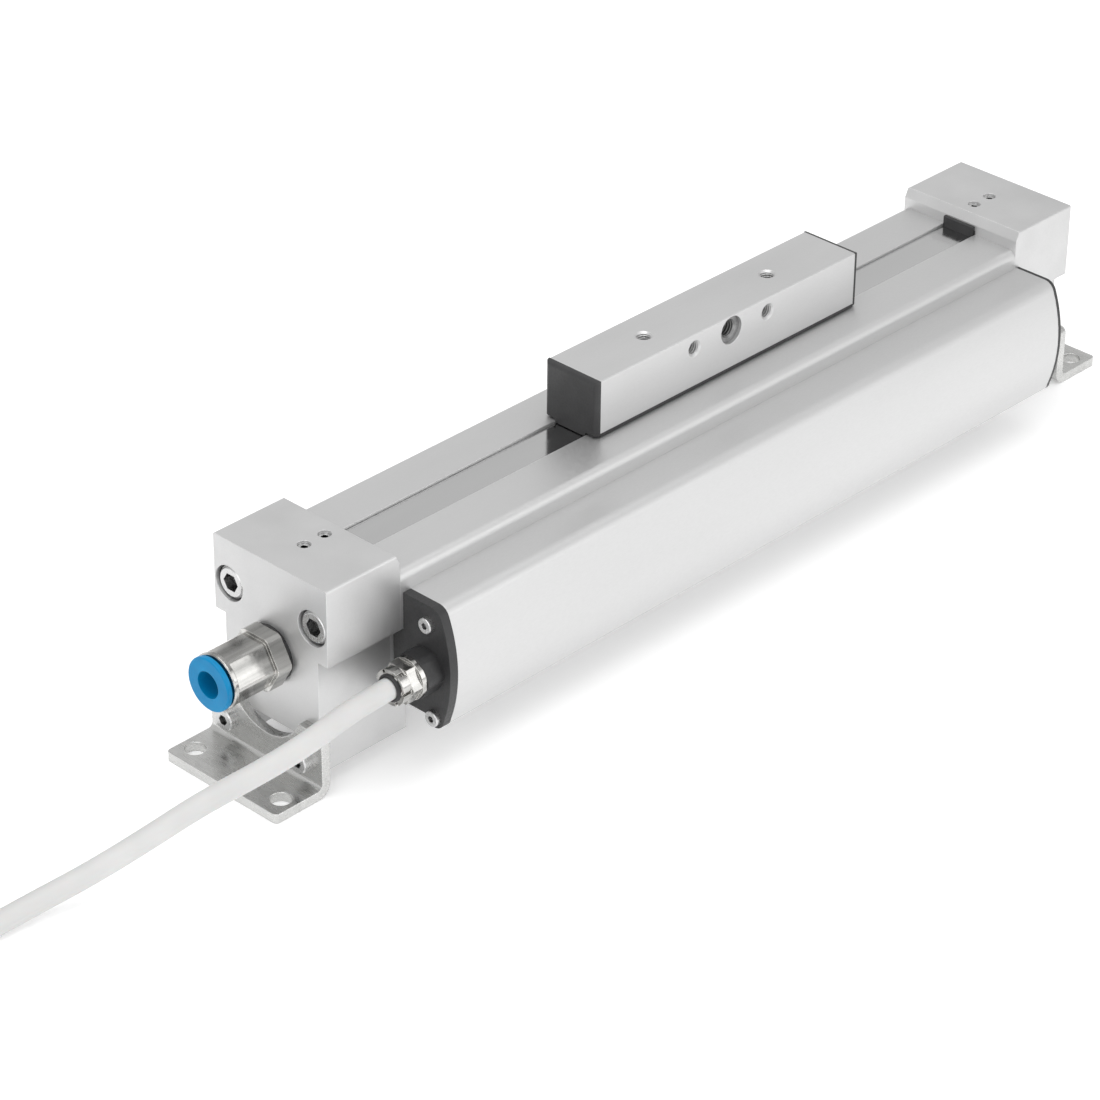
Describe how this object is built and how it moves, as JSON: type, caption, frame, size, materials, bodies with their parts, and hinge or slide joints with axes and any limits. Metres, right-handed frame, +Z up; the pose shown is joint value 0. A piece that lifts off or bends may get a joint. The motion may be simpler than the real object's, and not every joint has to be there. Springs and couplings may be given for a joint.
{
  "type": "rodless pneumatic cylinder",
  "caption": "Rodless pneumatic cylinder: slotted barrel with a sealing band, narrow sliding carriage on top, side encoder with cable, push-in air fitting and foot brackets.",
  "frame": {"origin": "middle of the four foot holes, on the plane that the feet stand on", "axes": "+X along the barrel away from the air fitting and cable, +Z up through the carriage, encoder on the -Y side"},
  "size_m": [0.5445, 0.1099, 0.0778],
  "materials": {
    "anodised": "satin, natural anodised",
    "cap_metal": "satin, natural anodised",
    "carriage_metal": "satin, natural anodised",
    "screw_steel": "plain steel",
    "band_steel": "polished steel strip",
    "seal_rubber": "matt",
    "black_plastic": "moulded, matt",
    "magnet": "dull",
    "nickel": "nickel plated",
    "blue_plastic": "moulded, slight gloss",
    "zinc_steel": "bright zinc plated",
    "sensor_brass": "plain",
    "board": "lacquered",
    "cable_jacket": "smooth, matt"
  },
  "bodies": {
    "cylinder": {"barrel": "anodised", "encoder_housing": "anodised", "end_cap_front": "cap_metal", "end_cap_rear": "cap_metal", "cap_screws_front": "screw_steel", "cap_screws_rear": "screw_steel", "clamp_screws_front": "screw_steel", "clamp_screws_rear": "screw_steel", "encoder_screws_front": "screw_steel", "encoder_screws_rear": "screw_steel", "foot_screws_front": "screw_steel", "foot_screws_rear": "screw_steel", "grip_ring": "screw_steel", "cover_band": "band_steel", "seal_band": "seal_rubber", "fitting_seal": "seal_rubber", "tube_seal": "seal_rubber", "end_seal_front": "seal_rubber", "end_seal_rear": "seal_rubber", "band_clamp_front": "black_plastic", "band_clamp_rear": "black_plastic", "encoder_plate_front": "black_plastic", "encoder_plate_rear": "black_plastic", "gland_body": "black_plastic", "connector_grip": "black_plastic", "coil_ties": "black_plastic", "fitting_body": "nickel", "gland_nut": "nickel", "connector_shell": "nickel", "foot_front": "zinc_steel", "foot_rear": "zinc_steel", "sensor_tube": "sensor_brass", "encoder_board": "board", "encoder_cable": "cable_jacket", "cable_coil": "cable_jacket", "cable_tail": "cable_jacket"},
    "carriage": {"carriage_block": "carriage_metal", "carriage_bush": "screw_steel", "slide_strips": "black_plastic", "driver": "anodised", "driver_dowels": "screw_steel", "carriage_cover_front": "black_plastic", "carriage_cover_rear": "black_plastic", "piston_head_front": "black_plastic", "piston_head_rear": "black_plastic", "piston_magnet_front": "magnet", "piston_magnet_rear": "magnet", "guide_ring_front": "black_plastic", "guide_ring_rear": "black_plastic", "lip_seal_front": "seal_rubber", "lip_seal_rear": "seal_rubber", "piston_screw_front": "screw_steel", "piston_screw_rear": "screw_steel"},
    "release_ring": {"release_ring": "blue_plastic"}
  },
  "joints": [
    {"name": "carriage_slide", "type": "slide", "parent": "cylinder", "child": "carriage", "axis": [1, 0, 0], "range_m": [-0.0765, 0.0485], "deforming": ["cover_band", "seal_band"]},
    {"name": "release_ring_push", "type": "slide", "parent": "cylinder", "child": "release_ring", "axis": [1, 0, 0], "range_m": [0, 0.001], "stiffness_N_per_m": 1500, "springref_m": -0.001}
  ]
}
